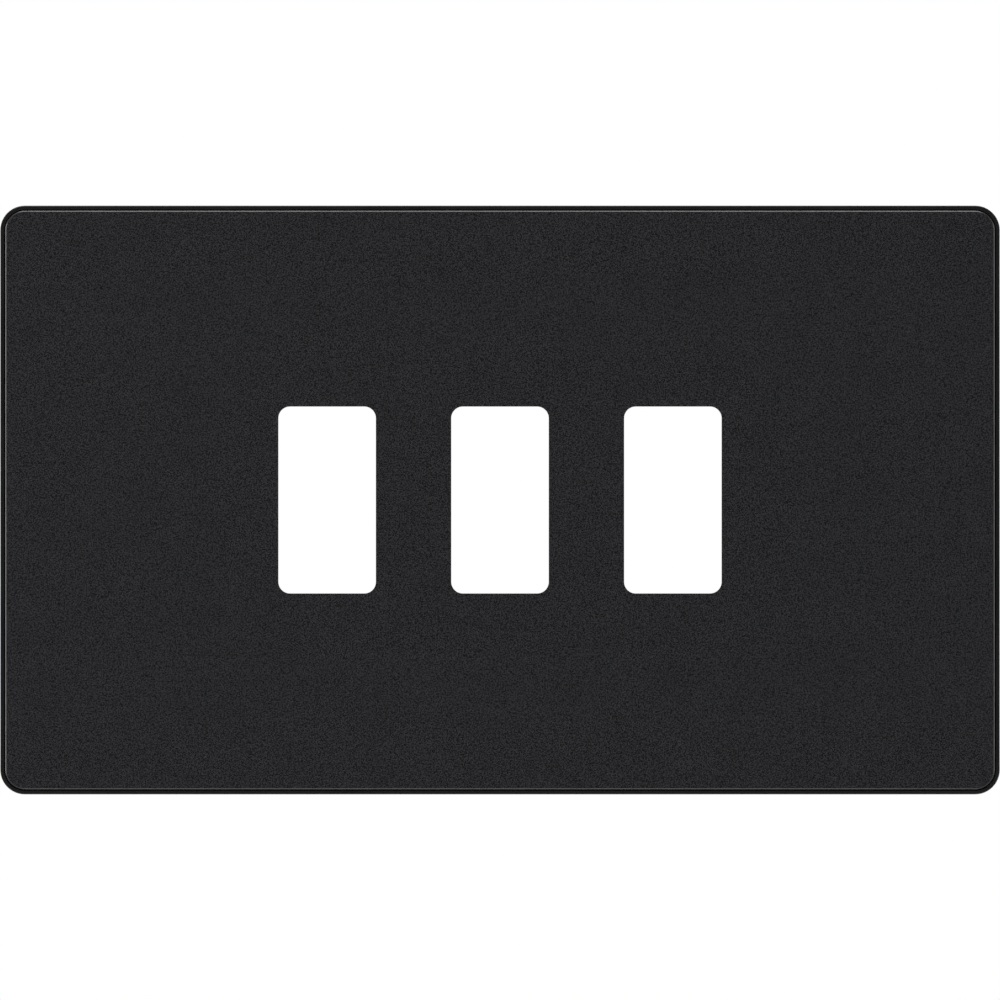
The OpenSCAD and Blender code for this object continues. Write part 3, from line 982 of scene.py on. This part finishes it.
def earth_contact_rivet():
    """Shank with two formed heads."""
    box = face_box("earth_contact_rivet")
    head_r = (box.high.x - box.low.x) / 2
    head_h = 0.8
    rim_h = head_h * 0.45       # of a head's straight side, below its dome
    end_r = 0.02                # of the small flat face that closes each end
    dome_r = 1.1
    shank_r = 1.19
    front = box.high.z - head_h
    points = [
        (end_r, box.low.z), (dome_r, box.low.z), (head_r, -rim_h), (head_r, 0), (shank_r, 0),
        (shank_r, front), (head_r, front), (head_r, front + rim_h), (dome_r, box.high.z),
        (end_r, box.high.z),
    ]
    profile = rounded_path(points, [0.8, 0.2, 0.05, 0, 0, 0.05, 0.2, 0.8], 4)
    bm = lathe([(p.x, p.y) for p in profile])
    centre = middle("earth_contact_rivet")
    bm.transform(Matrix.Translation((centre.x, centre.y, 0)))
    finish_piece("earth_contact_rivet", bm)


def earth_bush():
    """A turned brass bush with a chamfered bore, clinched into the yoke."""
    box = face_box("earth_bush")
    centre = middle("earth_bush")
    flange_r = (box.high.x - box.low.x) / 2
    body_r = 2.89
    bore_r = TERMINAL_BORE_R
    bevel = 0.2
    fine_bevel = 0.05
    profile = [
        (bore_r, box.low.z + bevel), (bore_r + bevel, box.low.z), (body_r - bevel, box.low.z),
        (body_r, box.low.z + bevel), (body_r, YOKE_T), (flange_r - fine_bevel, YOKE_T),
        (flange_r, YOKE_T + fine_bevel), (flange_r, box.high.z - bevel), (flange_r - bevel, box.high.z),
        (bore_r + bevel, box.high.z), (bore_r, box.high.z - bevel),
    ]
    bm = lathe(profile, closed=True)
    bm.transform(Matrix.Translation((centre.x, centre.y, 0)))
    finish_piece("earth_bush", bm)


def earth_clamp_washer():
    """A square washer whose front is serrated to grip the conductor."""
    box = face_box("earth_clamp_washer")
    centre = middle("earth_clamp_washer")
    size = box.high.x - box.low.x
    corner_r = 0.8
    bm = slab(
        Loop(centre.x, centre.y, size, size, corner_r), rounded_edge(box.low.z, box.high.z, 0.15, 0.1),
        [circle(centre.x, centre.y, TERMINAL_BORE_R)], steps=8,
    )
    grooves = bmesh.new()
    grooves_x = (-3.9, -3.3, -2.7, 2.7, 3.3, 3.9)
    depth = 0.25
    for x in grooves_x:
        spot = Matrix.Translation((centre.x + x, centre.y, box.high.z))
        place = spot @ Matrix.Rotation(math.pi / 4, 4, "Y")
        add_box(grooves, (-depth, -size, -depth), (depth, size, depth), place)
    finish_piece("earth_clamp_washer", bm, [("DIFFERENCE", grooves)])


def earth_screw():
    """The brass M4 terminal screw, whose slotted head faces into the box."""
    box = face_box("earth_screw")
    centre = middle("earth_screw")
    head_r = (box.high.x - box.low.x) / 2
    head_front = face_box("earth_clamp_washer").low.z
    back = box.low.z
    thread_r = 2.0
    pitch = 0.7
    thread_depth = 0.38
    undercut = 0.1              # narrower length between the head and the thread
    tip_r = 1.6
    tip_h = 0.3
    crown_r = 0.8
    crown_h = 0.3
    head = rounded_path(
        [
            (SCREW_END_R, back), (crown_r, back), (head_r, back + crown_h), (head_r, head_front),
            (thread_r, head_front),
        ],
        [0, 0.7, 0.12], 5
    )
    shaft = threaded(thread_r, head_front + undercut, box.high.z - tip_h, pitch, thread_depth)
    profile = [
        *[(p.x, p.y) for p in head[:-1]], (thread_r - undercut, head_front), *shaft, (tip_r, box.high.z),
        (SCREW_END_R, box.high.z),
    ]
    bm = lathe(profile, pitch=pitch)
    slot = slot_cutter(head_r, back - CUT, back + SLOT_DEPTH)
    place = Matrix.Translation((centre.x, centre.y, 0))
    bm.transform(place)
    slot.transform(place)
    finish_piece("earth_screw", bm, [("DIFFERENCE", slot)])


# ---------------------------------------------------------------- foam


def wall_gasket():
    """The strip between the surround's back and the wall, with its edges rounded by compression."""
    box = face_box("wall_gasket")
    inset = 0.6
    hollow_r = 1.0
    outer = Loop(0, 0, box.high.x - box.low.x, box.high.y - box.low.y, CORNER_R - inset)
    hole = Loop(0, 0, PLATE_W - 2 * WALL_T, PLATE_H - 2 * WALL_T, hollow_r)
    bm = slab(outer, rounded_edge(box.low.z, box.high.z, 0.25, 0.25), [hole])
    finish_piece("wall_gasket", bm)


def anti_rattle_pads():
    """Six thin self-adhesive pads, cut square."""
    box = face_box("anti_rattle_pads")
    size = 6.0
    corner_r = 0.4
    bm = bmesh.new()
    for x in (box.low.x + size / 2, 0, box.high.x - size / 2):
        for y in (box.low.y + size / 2, box.high.y - size / 2):
            pad = Loop(x, y, size, size, corner_r)
            merge(bm, slab(pad, rounded_edge(box.low.z, box.high.z, 0.05, 0.12)))
    finish_piece("anti_rattle_pads", bm)


fascia_plate()
surround()
yoke()
for corner in CORNERS:
    clip_blade(corner)
    retaining_spring(corner)
for side in SIDES:
    fixing_screw(side)
    retaining_washer(side)
earth_contact_spring()
earth_contact_rivet()
earth_bush()
earth_clamp_washer()
earth_screw()
wall_gasket()
anti_rattle_pads()

# ---------------------------------------------------------------- floor, light and camera, in metres

FLOOR_DROP = 0.3                # from the centre of the plate to the floor
FLOOR_SIZE = 4.0


def floor():
    """A large pale floor below the plate."""
    bm = bmesh.new()
    bmesh.ops.create_grid(bm, x_segments=8, y_segments=8, size=FLOOR_SIZE / 2)
    made = make_object("floor", bm)
    made.location.z = -FLOOR_DROP
    look = Look("pale_floor")
    look.colour(look.grain(900, detail=1), (0.6, 0.6, 0.6), (0.61, 0.61, 0.608))
    look.roughness(look.grain(300), 0.9, 0.95)
    made.data.materials.append(look.material)


def soft_light(name, place, size, radiance):
    """A square softbox that faces the plate and that the camera doesn't see."""
    lamp = bpy.data.lights.new(name, "AREA")
    lamp.shape = "SQUARE"
    lamp.size = size
    lamp.energy = radiance * math.pi * size * size
    made = bpy.data.objects.new(name, lamp)
    made.location = place
    made.rotation_euler = (-Vector(place)).to_track_quat("-Z", "Y").to_euler()
    made.visible_camera = False
    bpy.context.scene.collection.objects.link(made)


def surroundings():
    """A white backdrop: the room is dim on the camera's side and bright behind the plate."""
    front_strength = 0.1
    back_strength = 0.8
    world = bpy.data.worlds.new("studio")
    bpy.context.scene.world = world
    world.use_nodes = True
    nodes = world.node_tree.nodes
    links = world.node_tree.links
    lit = nodes["Background"]
    seen = nodes.new("ShaderNodeBackground")
    choose = nodes.new("ShaderNodeMixShader")
    axes = nodes.new("ShaderNodeSeparateXYZ")
    span = nodes.new("ShaderNodeMapRange")
    span.inputs["From Min"].default_value = -0.5
    span.inputs["From Max"].default_value = 0.5
    span.inputs["To Min"].default_value = front_strength
    span.inputs["To Max"].default_value = back_strength
    lit.inputs["Color"].default_value = (1, 1, 1, 1)
    seen.inputs["Color"].default_value = (1, 1, 1, 1)
    links.new(nodes.new("ShaderNodeTexCoord").outputs["Generated"], axes.inputs["Vector"])
    links.new(axes.outputs["Y"], span.inputs["Value"])
    links.new(span.outputs["Result"], lit.inputs["Strength"])
    links.new(nodes.new("ShaderNodeLightPath").outputs["Is Camera Ray"], choose.inputs["Fac"])
    links.new(lit.outputs["Background"], choose.inputs[1])
    links.new(seen.outputs["Background"], choose.inputs[2])
    links.new(choose.outputs["Shader"], nodes["World Output"].inputs["Surface"])


def camera():
    """Square on to the plate and far back, framed to its width."""
    distance = 3.0
    margin = 1.0004             # the frame's width over the plate's
    data = bpy.data.cameras.new("camera")
    rim = distance - LIP_TOP * MM
    data.lens = data.sensor_width * rim / (PLATE_W * MM * margin)
    data.clip_end = 30.0
    made = bpy.data.objects.new("camera", data)
    made.location = (0, -distance, 0)
    made.rotation_euler = (math.radians(90), 0, 0)
    bpy.context.scene.collection.objects.link(made)
    bpy.context.scene.camera = made


floor()
surroundings()
soft_light("overhead", (0, 0, 1.3), 0.9, 4.2)
soft_light("left", (-1.5, 0, 0.1), 0.9, 3.7)
soft_light("right", (1.5, 0, 0.1), 0.9, 1.9)
soft_light("bounce", (0, 0.03, -0.28), 0.22, 1.1)
soft_light("key", (-0.28, -0.42, 0.55), 0.36, 3.2)
camera()
bpy.context.scene.view_settings.view_transform = "Standard"
